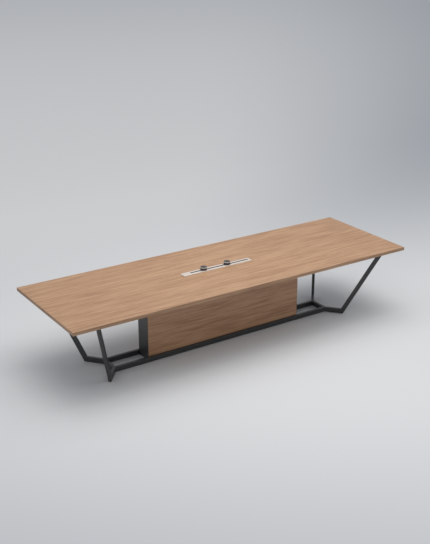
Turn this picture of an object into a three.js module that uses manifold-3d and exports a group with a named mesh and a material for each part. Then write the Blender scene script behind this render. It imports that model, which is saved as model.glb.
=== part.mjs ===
// Conference table on a splayed tube base, with a cable column and a power track with two sliding sockets.
// Millimetres, +Z up. The origin is on the floor under the middle of the top, and X runs along the table.

import * as THREE from 'three';
import { mergeVertices } from 'three/addons/utils/BufferGeometryUtils.js';
import Module from 'manifold-3d';

const wasm = await Module();
wasm.setup();

// Top
const TABLE_LENGTH = 3800;
const TABLE_WIDTH = 1200;
const TABLE_HEIGHT = 760;
const TOP_THICKNESS = 32;
const EDGE_BAND = 2;

// Steel base
const TUBE_WIDTH = 30;
const TUBE_WALL = 2;
const TUBE_INNER_RADIUS = 2;
const RAIL_HEIGHT = 50;
const BASE_WIDTH = 233; // between the outer faces of the two rails
const BASE_END_INSET = 609; // from the end of the top to the outer face of an end bar
const ARM_REACH = 196.5; // from the corner of the base to the toe
const LEG_DEPTH = 45;
const LEG_END_INSET = 251; // from the end of the top to a leg's outer face, at its upper end
const LEG_SIDE_INSET = 49; // from the long edge of the top to the same point

// Plates that screw the legs to the top
const PLATE_LENGTH = 100;
const PLATE_WIDTH = 70;
const PLATE_THICKNESS = 4;
const PLATE_SETBACK = 12; // towards the middle of the table, from the centre of the leg
const PLATE_HOLE = 6.5;
const PLATE_HOLE_EDGE = 12; // from the edges of the plate to the centre of a hole

// Floor glides
const GLIDE_HEIGHT = 3;
const GLIDE_LENGTH = 44;
const GLIDE_WIDTH = 19;
const GLIDE_TOE_INSET = 12; // from the toe to the glide

// Cable column, which stands on the rails
const COLUMN_END_INSET = 1000; // from the end of the top to the end of the column
const COLUMN_DEPTH = 186;
const PANEL_THICKNESS = 18;
const END_COVER = 2;
const END_RETURN = 25;
const CLEAT_LEG = 30;
const CLEAT_THICKNESS = 3;
const CLEAT_SETBACK = 15; // from the returns of the end covers
const DIVIDER_THICKNESS = 18;
const DIVIDER_MARGIN = 30; // wood left beside the cable openings
const DIVIDER_NOTCH = 70; // depth of the upper cable opening
const DIVIDER_ARCH = 260; // height of the lower cable opening
const ARCH_RADIUS = 30;

// Power track
const TRACK_LENGTH = 800;
const TRACK_WIDTH = 76;
const TRACK_RAISE = 8; // above the top
const TRACK_OFFSET = -51; // of its middle, along the table
const TRACK_CHAMFER = 3;
const TRACK_WALL = 2.5;
const TRACK_CAVITY_WIDTH = 40;
const TRACK_CAVITY_DEPTH = 37;
const LIP_THICKNESS = 5;
const SLOT_WIDTH = 13;
const FEED_CAP = 92;
const FEED_CHAMBER_DEPTH = 62; // below the top's upper face
const END_CAP = 22;
const CAP_OVERHANG = 12; // how far an end cap lies on the wood past the cut-out
const CAP_CORNER = 6;
const CUTOUT_CLEARANCE = 1.5;

// Conductors
const LINER_WALL = 6;
const LINER_FLOOR = 3;
const LINER_TOP_GAP = 3; // between the lips and the liner
const GROOVE_DROP = 18; // from the lips to the middle of a contact groove
const GROOVE_HEIGHT = 6;
const GROOVE_DEPTH = 4.5;
const STRIP_THICKNESS = 1.2;
const EARTH_WIDTH = 10;

// Socket adapters
const ADAPTERS = { left: -205, right: 70 }; // places along the table
const ADAPTER_RADIUS = 33;
const ADAPTER_HEIGHT = 32;
const BASE_HEIGHT = 5;
const RING_HEIGHT = 8;
const RING_CHAMFER = 1.5;
const RING_WIDTH = 6;
const RING_LEDGE = 2.5;
const HOUSING_WALL = 3;
const HOUSING_FLOOR = 3;
const SOCKET_THICKNESS = 4;
const SOCKET_RECESS = 1;
const STEM_CLEARANCE = 1; // between the stem and the slot
const STEM_FLANGE = 22;
const STEM_FLANGE_THICKNESS = 3;
const STEM_TAIL = 2; // below the blades
const STEM_CORE = 4; // insulation between the two blades
const KEY_SETOUT = 4; // from the hole in the base to a slot key
const KEY_LENGTH = 8;
const KEY_SHORT = 1; // how much less deep a key is than the lips
const BLADE_THICKNESS = 3;
const BLADE_HEIGHT = 4;
const PIN_SLOT = 8;
const PIN_SLOT_WIDTH = 2.6;
const PIN_SPREAD = 13; // between the two slots of a pair
const PIN_ROW = 9; // from the middle of the face to each row
const PIN_TILT = 30; // degrees, of the lower pair

// Clearances
const SEAT = 0.1; // glue line or seat between flat faces
const WELD = 0.3; // weld gap between mitred tubes
const RUN = 0.3; // running gap of sliding and turning pieces

// Facets of turned pieces, and of each rounded corner
const ROUND_STEPS = 56;
const ARC_STEPS = 4;

const finishes = {
  wood: { color: 0xbe987a, roughness: 0.45, metalness: 0 },
  band: { color: 0xb08a6c, roughness: 0.5, metalness: 0 },
  steel: { color: 0x2b2d2e, roughness: 0.55, metalness: 0.3 },
  board: { color: 0x9a7d66, roughness: 0.6, metalness: 0 },
  glide: { color: 0x161616, roughness: 0.7, metalness: 0 },
  zinc: { color: 0xa8adb0, roughness: 0.4, metalness: 0.9 },
  track: { color: 0xe4dfd9, roughness: 0.35, metalness: 0.4 },
  liner: { color: 0x26282a, roughness: 0.6, metalness: 0 },
  copper: { color: 0xb87333, roughness: 0.3, metalness: 1 },
  brass: { color: 0xc8a24a, roughness: 0.3, metalness: 1 },
  plastic: { color: 0x1d1d1f, roughness: 0.4, metalness: 0 },
  ring: { color: 0xb4b2b1, roughness: 0.3, metalness: 0.8 },
};

const table = new THREE.Group();

function piece(name, geometry, finish, parent = table) {
  const mesh = new THREE.Mesh(geometry, new THREE.MeshStandardMaterial(finishes[finish]));
  mesh.name = name;
  parent.add(mesh);
  return mesh;
}

// Solids for cutting and joining

function solid(geometry) {
  const bare = geometry.index ? geometry.toNonIndexed() : geometry.clone();
  bare.deleteAttribute('normal');
  bare.deleteAttribute('uv');
  const merged = mergeVertices(bare, 1e-4);
  return new wasm.Manifold(new wasm.Mesh({
    numProp: 3,
    vertProperties: new Float32Array(merged.attributes.position.array),
    triVerts: new Uint32Array(merged.index.array),
  }));
}

function geometryOf(body) {
  const mesh = body.getMesh();
  const geometry = new THREE.BufferGeometry();
  geometry.setAttribute('position', new THREE.BufferAttribute(mesh.vertProperties, 3));
  geometry.setIndex(new THREE.BufferAttribute(mesh.triVerts, 1));
  return geometry;
}

const combine = (step) => (first, ...rest) => geometryOf(rest.map(solid).reduce(step, solid(first)));
const cut = combine((body, tool) => body.subtract(tool));
const join = combine((body, more) => body.add(more));
const common = combine((body, other) => body.intersect(other));

// Basic forms

// A block between two corners, in either order.
function block(x0, x1, y0, y1, z0, z1) {
  const geometry = new THREE.BoxGeometry(Math.abs(x1 - x0), Math.abs(y1 - y0), Math.abs(z1 - z0));
  return geometry.translate((x0 + x1) / 2, (y0 + y1) / 2, (z0 + z1) / 2);
}

const outline = (points) => new THREE.Shape(points.map(([u, v]) => new THREE.Vector2(u, v)));

// An outline in plan, raised from z0 to z1.
function raised(shape, z0, z1) {
  const settings = { depth: z1 - z0, bevelEnabled: false, curveSegments: ARC_STEPS };
  return new THREE.ExtrudeGeometry(shape, settings).translate(0, 0, z0);
}

// A cross-section in (y, z), drawn along x from x0 to x1.
function alongX(shape, x0, x1) {
  const geometry = raised(shape, 0, x1 - x0);
  geometry.applyMatrix4(new THREE.Matrix4().makeBasis(
    new THREE.Vector3(0, 1, 0),
    new THREE.Vector3(0, 0, 1),
    new THREE.Vector3(1, 0, 0),
  ));
  return geometry.translate(x0, 0, 0);
}

// A side view in (x, z), drawn across y, centred, to the given width.
function across(shape, width) {
  const geometry = raised(shape, -width / 2, width / 2);
  return geometry.rotateX(Math.PI / 2);
}

// A profile in (radius, z), turned about the z axis.
function turned(points) {
  const profile = points.map(([r, z]) => new THREE.Vector2(r, z));
  return new THREE.LatheGeometry(profile, ROUND_STEPS).rotateX(Math.PI / 2);
}

// A ring profile closes on itself; a profile from axis to axis makes a full body.
const ring = (points) => turned([...points, points[0]]);

function roundedRectangle(x0, x1, y0, y1, radius) {
  const shape = new THREE.Shape();
  shape.moveTo(x0 + radius, y0);
  shape.lineTo(x1 - radius, y0);
  shape.absarc(x1 - radius, y0 + radius, radius, -Math.PI / 2, 0);
  shape.lineTo(x1, y1 - radius);
  shape.absarc(x1 - radius, y1 - radius, radius, 0, Math.PI / 2);
  shape.lineTo(x0 + radius, y1);
  shape.absarc(x0 + radius, y1 - radius, radius, Math.PI / 2, Math.PI);
  shape.lineTo(x0, y0 + radius);
  shape.absarc(x0 + radius, y0 + radius, radius, Math.PI, 1.5 * Math.PI);
  return shape;
}

// Levels and places that several pieces share

const underside = TABLE_HEIGHT - TOP_THICKNESS;
const railTop = GLIDE_HEIGHT + RAIL_HEIGHT;
const railOuter = BASE_WIDTH / 2;
const railInner = railOuter - TUBE_WIDTH;
const baseEnd = TABLE_LENGTH / 2 - BASE_END_INSET;
const columnEnd = TABLE_LENGTH / 2 - COLUMN_END_INSET;
const trackStart = TRACK_OFFSET - TRACK_LENGTH / 2;
const trackEnd = TRACK_OFFSET + TRACK_LENGTH / 2;
const slotStart = trackStart + FEED_CAP;
const slotEnd = trackEnd - END_CAP;
const trackTop = TABLE_HEIGHT + TRACK_RAISE;
const lipUnder = trackTop - LIP_THICKNESS;
const cavityFloor = lipUnder - TRACK_CAVITY_DEPTH;
const cavityHalf = TRACK_CAVITY_WIDTH / 2;
const troughHalf = cavityHalf + TRACK_WALL;

// The corners of the table as signs along x and y
const corners = [
  ['front_left', -1, -1],
  ['front_right', 1, -1],
  ['rear_left', -1, 1],
  ['rear_right', 1, 1],
];

// Top: a board with the track's cut-out, and bands on its four edges

function buildTop() {
  const x = TABLE_LENGTH / 2 - EDGE_BAND;
  const y = TABLE_WIDTH / 2 - EDGE_BAND;
  const board = outline([[-x, -y], [x, -y], [x, y], [-x, y]]);
  const cutout = troughHalf + CUTOUT_CLEARANCE;
  const from = trackStart + CAP_OVERHANG;
  const to = trackEnd - CAP_OVERHANG;
  board.holes.push(outline([[from, -cutout], [from, cutout], [to, cutout], [to, -cutout]]));
  piece('table_top', raised(board, underside, TABLE_HEIGHT), 'wood');

  const endX = TABLE_LENGTH / 2;
  const sideY = TABLE_WIDTH / 2;
  for (const [side, s] of [['front', -1], ['rear', 1]]) {
    const near = s * (y + SEAT);
    const far = s * sideY;
    piece(`${side}_edge_band`, block(-endX, endX, near, far, underside, TABLE_HEIGHT), 'band');
  }
  for (const [side, s] of [['left', -1], ['right', 1]]) {
    const near = s * (x + SEAT);
    const far = s * endX;
    piece(`${side}_edge_band`, block(near, far, -y, y, underside, TABLE_HEIGHT), 'band');
  }
}

// Splay of the arms and legs: each pair stands in one upright plane, which runs from the base's corner, cut
// square to the arm, to the leg's place under the top. The cut moves with the angle, so the angle is refined
// step by step.

function splayAngle() {
  const runX = TABLE_LENGTH / 2 - LEG_END_INSET - baseEnd;
  const runY = TABLE_WIDTH / 2 - LEG_SIDE_INSET - railOuter;
  const straight = Math.atan2(runY, runX);
  const distance = Math.hypot(runX, runY);
  let angle = straight;
  for (let step = 0; step < 12; step += 1) {
    angle = straight + Math.asin((TUBE_WIDTH / 2) * Math.cos(2 * angle) / distance);
  }
  return angle;
}

const splay = splayAngle();
const armX = Math.cos(splay);
const armY = Math.sin(splay);

// In the corner where x and y are positive: the cut runs from the rail's to the end bar's outer face.
const railCut = [baseEnd - TUBE_WIDTH * armY, railOuter];
const barCut = [baseEnd, railOuter - TUBE_WIDTH * armX];
const armRoot = [(railCut[0] + barCut[0]) / 2, (railCut[1] + barCut[1]) / 2];

// The mitre of rail and end bar runs at 45 degrees from their inner corner to that cut.
const mitreStart = [baseEnd - TUBE_WIDTH, railInner];
const cutOffset = (railCut[0] - mitreStart[0]) * armX + (railCut[1] - mitreStart[1]) * armY;
const mitreRun = cutOffset / (armX + armY);
const mitreEnd = [mitreStart[0] + mitreRun, mitreStart[1] + mitreRun];

// A rectangular tube section about the origin, with rounded corners inside and out.
function tubeSection(width, height) {
  const x = width / 2;
  const y = height / 2;
  const section = roundedRectangle(-x, x, -y, y, TUBE_INNER_RADIUS + TUBE_WALL);
  const boreX = x - TUBE_WALL;
  const boreY = y - TUBE_WALL;
  section.holes.push(roundedRectangle(-boreX, boreX, -boreY, boreY, TUBE_INNER_RADIUS));
  return section;
}

// A level tube of the base, along x, centred on the x axis at the height of the rails.
function levelTube(length) {
  const tube = alongX(tubeSection(TUBE_WIDTH, RAIL_HEIGHT), -length / 2, length / 2);
  return tube.translate(0, 0, GLIDE_HEIGHT + RAIL_HEIGHT / 2);
}

// A point past b on the line from a to b.
function beyond(a, b, distance) {
  const share = distance / Math.hypot(b[0] - a[0], b[1] - a[1]);
  return [b[0] + (b[0] - a[0]) * share, b[1] + (b[1] - a[1]) * share];
}

function buildBase() {
  const slack = WELD * Math.SQRT2;
  const margin = TUBE_WIDTH; // how far the cutting outlines reach past a tube's faces
  const middle = (railInner + railOuter) / 2;
  const inward = beyond(mitreEnd, mitreStart, margin);
  for (const [side, s] of [['front', -1], ['rear', 1]]) {
    const half = [
      [inward[0] - slack, inward[1]],
      [mitreEnd[0] - slack, mitreEnd[1]],
      beyond(mitreEnd, railCut, margin),
    ];
    const mirrored = half.map(([x, y]) => [-x, y]).reverse();
    const plan = outline([...half, ...mirrored].map(([x, y]) => [x, s * y]));
    const tube = levelTube(2 * baseEnd).translate(0, s * middle, 0);
    piece(`${side}_rail`, common(tube, raised(plan, -RAIL_HEIGHT, 2 * RAIL_HEIGHT)), 'steel');
  }
  for (const [side, s] of [['left', -1], ['right', 1]]) {
    const half = [inward, mitreEnd, beyond(mitreEnd, barCut, margin)];
    const mirrored = half.map(([x, y]) => [x, -y]).reverse();
    const plan = outline([...half, ...mirrored].map(([x, y]) => [s * x, y]));
    const endTube = levelTube(2 * railOuter).rotateZ(Math.PI / 2);
    endTube.translate(s * (baseEnd - TUBE_WIDTH / 2), 0, 0);
    piece(`${side}_end_bar`, common(endTube, raised(plan, -RAIL_HEIGHT, 2 * RAIL_HEIGHT)), 'steel');

    const crossTube = levelTube(2 * (railInner - SEAT)).rotateZ(Math.PI / 2);
    piece(`${side}_cross_tube`, crossTube.translate(s * (columnEnd - TUBE_WIDTH / 2), 0, 0), 'steel');
  }
}

// Arms and legs, drawn in a frame whose x runs along the arm from the base's corner, and turned into place

const legTop = underside - PLATE_THICKNESS - SEAT;
const rootToTop = Math.hypot(
  TABLE_LENGTH / 2 - LEG_END_INSET - armRoot[0],
  TABLE_WIDTH / 2 - LEG_SIDE_INSET - armRoot[1],
);
const lean = Math.atan2(rootToTop - ARM_REACH, legTop - GLIDE_HEIGHT);
const legWidth = LEG_DEPTH / Math.cos(lean); // along the floor
const legOuter = (z) => ARM_REACH + (z - GLIDE_HEIGHT) * Math.tan(lean);

function buildLegs() {
  const toe = [ARM_REACH, GLIDE_HEIGHT];
  const crook = [legOuter(railTop) - legWidth, railTop];
  const low = beyond(crook, toe, RAIL_HEIGHT);
  const high = beyond(toe, crook, RAIL_HEIGHT);
  const wide = 2 * TUBE_WIDTH; // of the outlines that cut the mitre
  const armSide = outline([
    [WELD, low[1]],
    [low[0] - WELD, low[1]],
    [high[0] - WELD, high[1]],
    [WELD, high[1]],
  ]);
  const outside = legOuter(legTop) + LEG_DEPTH;
  const legSide = outline([low, [outside, low[1]], [outside, legTop], [high[0], legTop], high]);
  const legLength = (legTop - GLIDE_HEIGHT) / Math.cos(lean);

  for (const [name, sx, sy] of corners) {
    const frame = new THREE.Group();
    frame.position.set(sx * armRoot[0], sy * armRoot[1], 0);
    frame.rotation.z = Math.atan2(sy * armY, sx * armX);
    table.add(frame);

    const armTube = levelTube(2 * low[0]);
    piece(`${name}_arm`, common(armTube, across(armSide, wide)), 'steel', frame);

    const legTube = raised(tubeSection(LEG_DEPTH, TUBE_WIDTH), -LEG_DEPTH, legLength + LEG_DEPTH);
    legTube.rotateY(lean).translate(ARM_REACH - legWidth / 2, 0, GLIDE_HEIGHT);
    piece(`${name}_leg`, common(legTube, across(legSide, wide)), 'steel', frame);

    const middle = legOuter(legTop) - legWidth / 2 - PLATE_SETBACK;
    const x0 = middle - PLATE_LENGTH / 2;
    const x1 = middle + PLATE_LENGTH / 2;
    const y1 = PLATE_WIDTH / 2;
    const plate = outline([[x0, -y1], [x1, -y1], [x1, y1], [x0, y1]]);
    for (const x of [x0 + PLATE_HOLE_EDGE, x1 - PLATE_HOLE_EDGE]) {
      for (const y of [PLATE_HOLE_EDGE - y1, y1 - PLATE_HOLE_EDGE]) {
        plate.holes.push(new THREE.Path().absarc(x, y, PLATE_HOLE / 2, 0, 2 * Math.PI, true));
      }
    }
    piece(`${name}_leg_plate`, raised(plate, legTop + SEAT / 2, underside - SEAT / 2), 'steel', frame);

    const end = ARM_REACH - GLIDE_TOE_INSET;
    const pad = roundedRectangle(end - GLIDE_LENGTH, end, -GLIDE_WIDTH / 2, GLIDE_WIDTH / 2, GLIDE_WIDTH / 4);
    piece(`${name}_toe_glide`, raised(pad, 0, GLIDE_HEIGHT - SEAT), 'glide', frame);
  }
  for (const [name, sx, sy] of corners) {
    const x = sx * (columnEnd - TUBE_WIDTH / 2);
    const y = sy * (railInner + railOuter) / 2;
    const pad = roundedRectangle(
      x - GLIDE_LENGTH / 2, x + GLIDE_LENGTH / 2,
      y - GLIDE_WIDTH / 2, y + GLIDE_WIDTH / 2,
      GLIDE_WIDTH / 4,
    );
    piece(`${name}_rail_glide`, raised(pad, 0, GLIDE_HEIGHT - SEAT), 'glide');
  }
}

// Cable column: two wood panels, folded end covers, a divider and the angle cleats under the top

function buildColumn() {
  const z0 = railTop + SEAT;
  const z1 = underside - SEAT;
  const outerY = COLUMN_DEPTH / 2;
  const innerY = outerY - PANEL_THICKNESS;
  const panelEnd = columnEnd - END_COVER - SEAT;
  for (const [side, s] of [['front', -1], ['rear', 1]]) {
    piece(`column_${side}_panel`, block(-panelEnd, panelEnd, s * innerY, s * outerY, z0, z1), 'wood');

    const back = innerY - SEAT;
    const cleatEnd = columnEnd - END_COVER - END_RETURN - CLEAT_SETBACK;
    const angle = outline([
      [s * back, z1],
      [s * (back - CLEAT_LEG), z1],
      [s * (back - CLEAT_LEG), z1 - CLEAT_THICKNESS],
      [s * (back - CLEAT_THICKNESS), z1 - CLEAT_THICKNESS],
      [s * (back - CLEAT_THICKNESS), z1 - CLEAT_LEG],
      [s * back, z1 - CLEAT_LEG],
    ]);
    piece(`column_${side}_cleat`, alongX(angle, -cleatEnd, cleatEnd), 'zinc');
  }

  for (const [side, s] of [['left', -1], ['right', 1]]) {
    const web = columnEnd - END_COVER;
    const tip = web - END_RETURN;
    const fold = innerY - SEAT;
    const inside = fold - END_COVER;
    const half = [[columnEnd, outerY], [web, outerY], [web, fold], [tip, fold], [tip, inside], [web, inside]];
    const mirrored = half.map(([x, y]) => [x, -y]).reverse();
    const plan = outline([...half, ...mirrored].map(([x, y]) => [s * x, y]));
    piece(`column_${side}_end`, raised(plan, z0, z1), 'steel');
  }

  const half = innerY - SEAT;
  const cleatCut = CLEAT_LEG + CUTOUT_CLEARANCE;
  const openHalf = half - DIVIDER_MARGIN;
  const notchHalf = half - cleatCut;
  const archSpring = z0 + DIVIDER_ARCH - ARCH_RADIUS;
  const divider = new THREE.Shape();
  divider.moveTo(-half, z0);
  divider.lineTo(-openHalf, z0);
  divider.lineTo(-openHalf, archSpring);
  divider.absarc(ARCH_RADIUS - openHalf, archSpring, ARCH_RADIUS, Math.PI, Math.PI / 2, true);
  divider.lineTo(openHalf - ARCH_RADIUS, z0 + DIVIDER_ARCH);
  divider.absarc(openHalf - ARCH_RADIUS, archSpring, ARCH_RADIUS, Math.PI / 2, 0, true);
  divider.lineTo(openHalf, z0);
  divider.lineTo(half, z0);
  divider.lineTo(half, z1 - cleatCut);
  divider.lineTo(notchHalf, z1 - cleatCut);
  divider.lineTo(notchHalf, z1 - DIVIDER_NOTCH);
  divider.lineTo(-notchHalf, z1 - DIVIDER_NOTCH);
  divider.lineTo(-notchHalf, z1 - cleatCut);
  divider.lineTo(-half, z1 - cleatCut);
  piece('column_divider', alongX(divider, -DIVIDER_THICKNESS / 2, DIVIDER_THICKNESS / 2), 'board');
}

// Power track: a slotted channel with its flange on the wood, closed by a feed cap and an end cap

const flangeHalf = TRACK_WIDTH / 2;
const flangeUnder = TABLE_HEIGHT + SEAT;

function flangeOutline() {
  return outline([
    [-flangeHalf, flangeUnder],
    [flangeHalf, flangeUnder],
    [flangeHalf, trackTop - TRACK_CHAMFER],
    [flangeHalf - TRACK_CHAMFER, trackTop],
    [TRACK_CHAMFER - flangeHalf, trackTop],
    [-flangeHalf, trackTop - TRACK_CHAMFER],
  ]);
}

// The flange of a cap, with three chamfers and two rounded corners. Its open end meets the channel.
function capFlange(open, outer) {
  const s = Math.sign(outer - open);
  const profile = alongX(flangeOutline(), Math.min(open, outer), Math.max(open, outer));
  const side = outline([
    [open, flangeUnder],
    [outer, flangeUnder],
    [outer, trackTop - TRACK_CHAMFER],
    [outer - s * TRACK_CHAMFER, trackTop],
    [open, trackTop],
  ]);
  const hidden = open - s * CAP_CORNER;
  const [x0, x1] = [Math.min(hidden, outer), Math.max(hidden, outer)];
  const plan = roundedRectangle(x0, x1, -flangeHalf, flangeHalf, CAP_CORNER);
  return common(profile, across(side, 2 * TRACK_WIDTH), raised(plan, TABLE_HEIGHT, 2 * TABLE_HEIGHT));
}

function buildTrack() {
  const slotHalf = SLOT_WIDTH / 2;
  const floor = cavityFloor - TRACK_WALL;
  const section = outline([
    [-flangeHalf, flangeUnder],
    [-troughHalf, flangeUnder],
    [-troughHalf, floor],
    [troughHalf, floor],
    [troughHalf, flangeUnder],
    [flangeHalf, flangeUnder],
    [flangeHalf, trackTop - TRACK_CHAMFER],
    [flangeHalf - TRACK_CHAMFER, trackTop],
    [slotHalf, trackTop],
    [slotHalf, lipUnder],
    [cavityHalf, lipUnder],
    [cavityHalf, cavityFloor],
    [-cavityHalf, cavityFloor],
    [-cavityHalf, lipUnder],
    [-slotHalf, lipUnder],
    [-slotHalf, trackTop],
    [TRACK_CHAMFER - flangeHalf, trackTop],
    [-flangeHalf, trackTop - TRACK_CHAMFER],
  ]);
  piece('track_channel', alongX(section, slotStart + SEAT, slotEnd - SEAT), 'track');

  const inset = CAP_OVERHANG + CUTOUT_CLEARANCE;
  const into = TRACK_RAISE / 2; // the lower part of a cap reaches this far up into its flange
  const feedBottom = TABLE_HEIGHT - FEED_CHAMBER_DEPTH;
  const feedEnd = trackStart + inset;
  const chamber = block(feedEnd, slotStart, -troughHalf, troughHalf, feedBottom, flangeUnder + into);
  const hollow = block(
    feedEnd + TRACK_WALL, slotStart - TRACK_WALL,
    TRACK_WALL - troughHalf, troughHalf - TRACK_WALL,
    feedBottom - TRACK_WALL, flangeUnder - TRACK_WALL,
  );
  piece('track_feed_cap', cut(join(capFlange(slotStart, trackStart), chamber), hollow), 'track');
  const plug = block(slotEnd, trackEnd - inset, -troughHalf, troughHalf, floor, flangeUnder + into);
  piece('track_end_cap', join(capFlange(slotEnd, trackEnd), plug), 'track');
}

// Conductors: a trough-shaped liner with a contact groove in each wall, and three metal strips

const linerHalf = cavityHalf - SEAT;
const linerInner = linerHalf - LINER_WALL;
const grooveBack = linerInner + GROOVE_DEPTH;
const grooveMiddle = lipUnder - GROOVE_DROP;
const stripFace = grooveBack - STRIP_THICKNESS;

function buildConductors() {
  const bottom = cavityFloor + SEAT;
  const floor = bottom + LINER_FLOOR;
  const rim = lipUnder - LINER_TOP_GAP;
  const grooveTop = grooveMiddle + GROOVE_HEIGHT / 2;
  const grooveLow = grooveMiddle - GROOVE_HEIGHT / 2;
  const right = [
    [linerHalf, bottom],
    [linerHalf, rim],
    [linerInner, rim],
    [linerInner, grooveTop],
    [grooveBack, grooveTop],
    [grooveBack, grooveLow],
    [linerInner, grooveLow],
    [linerInner, floor],
  ];
  const left = right.map(([y, z]) => [-y, z]).reverse();
  const x0 = slotStart + SEAT;
  const x1 = slotEnd - SEAT;
  piece('track_liner', alongX(outline([...right, ...left]), x0, x1), 'liner');
  const z0 = grooveLow + SEAT;
  const z1 = grooveTop - SEAT;
  piece('neutral_strip', block(x0, x1, -grooveBack + SEAT, -stripFace, z0, z1), 'copper');
  piece('live_strip', block(x0, x1, stripFace, grooveBack - SEAT, z0, z1), 'copper');
  const earthHalf = EARTH_WIDTH / 2;
  const earthLow = floor + SEAT;
  piece('earth_strip', block(x0, x1, -earthHalf, earthHalf, earthLow, earthLow + STRIP_THICKNESS), 'copper');
}

// Socket adapter: a base that slides in the slot, and a head that twists its blades onto the strips

function pinSlot(x, y, tilt, z0, z1) {
  const slot = block(-PIN_SLOT_WIDTH / 2, PIN_SLOT_WIDTH / 2, -PIN_SLOT / 2, PIN_SLOT / 2, z0, z1);
  return slot.rotateZ(THREE.MathUtils.degToRad(tilt)).translate(x, y, 0);
}

function buildAdapter(side, place) {
  const adapter = new THREE.Group();
  adapter.position.x = place;
  table.add(adapter);
  const add = (name, geometry, finish) => piece(`${side}_adapter_${name}`, geometry, finish, adapter);

  const stemRadius = SLOT_WIDTH / 2 - STEM_CLEARANCE;
  const baseHole = stemRadius + RUN;
  const baseUnder = trackTop + RUN;
  const baseTop = baseUnder + BASE_HEIGHT;
  const disc = ring([
    [baseHole, baseUnder],
    [ADAPTER_RADIUS, baseUnder],
    [ADAPTER_RADIUS, baseTop],
    [baseHole, baseTop],
  ]);
  const keyFrom = baseHole + KEY_SETOUT;
  const keyHalf = SLOT_WIDTH / 2 - RUN;
  const keyLow = lipUnder + KEY_SHORT;
  const keyHigh = baseUnder + BASE_HEIGHT / 2;
  const keys = [-1, 1].map((s) => {
    const middle = s * (keyFrom + KEY_LENGTH / 2);
    return block(middle - KEY_LENGTH / 2, middle + KEY_LENGTH / 2, -keyHalf, keyHalf, keyLow, keyHigh);
  });
  add('base', join(disc, ...keys), 'plastic');

  const top = trackTop + ADAPTER_HEIGHT;
  const ringUnder = top - RING_HEIGHT;
  const cupUnder = baseTop + RUN;
  const cupFloor = cupUnder + HOUSING_FLOOR;
  const cupInner = ADAPTER_RADIUS - HOUSING_WALL;
  const cupHole = stemRadius + SEAT;
  add('housing', ring([
    [cupHole, cupUnder],
    [ADAPTER_RADIUS, cupUnder],
    [ADAPTER_RADIUS, ringUnder - SEAT],
    [cupInner, ringUnder - SEAT],
    [cupInner, cupFloor],
    [cupHole, cupFloor],
  ]), 'plastic');

  const faceTop = top - SOCKET_RECESS;
  const faceUnder = faceTop - SOCKET_THICKNESS;
  const ringInner = ADAPTER_RADIUS - RING_WIDTH;
  const ledgeInner = ringInner - RING_LEDGE;
  add('trim_ring', ring([
    [ledgeInner, ringUnder],
    [ADAPTER_RADIUS, ringUnder],
    [ADAPTER_RADIUS, top - RING_CHAMFER],
    [ADAPTER_RADIUS - RING_CHAMFER, top],
    [ringInner, top],
    [ringInner, faceUnder - SEAT],
    [ledgeInner, faceUnder - SEAT],
  ]), 'ring');

  const faceRadius = ringInner - SEAT;
  const face = turned([[0, faceUnder], [faceRadius, faceUnder], [faceRadius, faceTop], [0, faceTop]]);
  const through = [faceUnder - SOCKET_THICKNESS, faceTop + SOCKET_THICKNESS];
  add('socket_face', cut(
    face,
    pinSlot(-PIN_SPREAD / 2, PIN_ROW, 0, ...through),
    pinSlot(PIN_SPREAD / 2, PIN_ROW, 0, ...through),
    pinSlot(0, -PIN_ROW / 2, 0, ...through),
    pinSlot(-PIN_SPREAD / 2, -PIN_ROW - PIN_SLOT / 2, -PIN_TILT, ...through),
    pinSlot(PIN_SPREAD / 2, -PIN_ROW - PIN_SLOT / 2, PIN_TILT, ...through),
  ), 'plastic');

  const bladeLow = grooveMiddle - BLADE_HEIGHT / 2;
  const bladeHigh = grooveMiddle + BLADE_HEIGHT / 2;
  const bladeTip = stripFace - RUN;
  const bladeRoot = STEM_CORE / 2;
  const bladeHalf = BLADE_THICKNESS / 2;
  const pockets = [-1, 1].map((s) => block(
    -bladeHalf - SEAT, bladeHalf + SEAT,
    s * (bladeRoot - SEAT), s * SLOT_WIDTH,
    bladeLow - SEAT, bladeHigh + SEAT,
  ));
  const stemFlange = STEM_FLANGE / 2;
  const stemHead = cupFloor + SEAT;
  const stem = turned([
    [0, bladeLow - STEM_TAIL],
    [stemRadius, bladeLow - STEM_TAIL],
    [stemRadius, stemHead],
    [stemFlange, stemHead],
    [stemFlange, stemHead + STEM_FLANGE_THICKNESS],
    [0, stemHead + STEM_FLANGE_THICKNESS],
  ]);
  add('stem', cut(stem, ...pockets), 'liner');
  add('neutral_blade', block(-bladeHalf, bladeHalf, -bladeTip, -bladeRoot, bladeLow, bladeHigh), 'brass');
  add('live_blade', block(-bladeHalf, bladeHalf, bladeRoot, bladeTip, bladeLow, bladeHigh), 'brass');
}

buildTop();
buildBase();
buildLegs();
buildColumn();
buildTrack();
buildConductors();
for (const [side, place] of Object.entries(ADAPTERS)) {
  buildAdapter(side, place);
}

export default table;
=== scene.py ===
"""Looks of a conference table: wood top, splayed tube base, cable column, power track and two sliding sockets.

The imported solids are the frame. Each operator finishes the solids of its group and puts finer meshes in the place of
those whose edges, folds or turned shapes show.
"""

import math
from functools import cached_property

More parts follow.
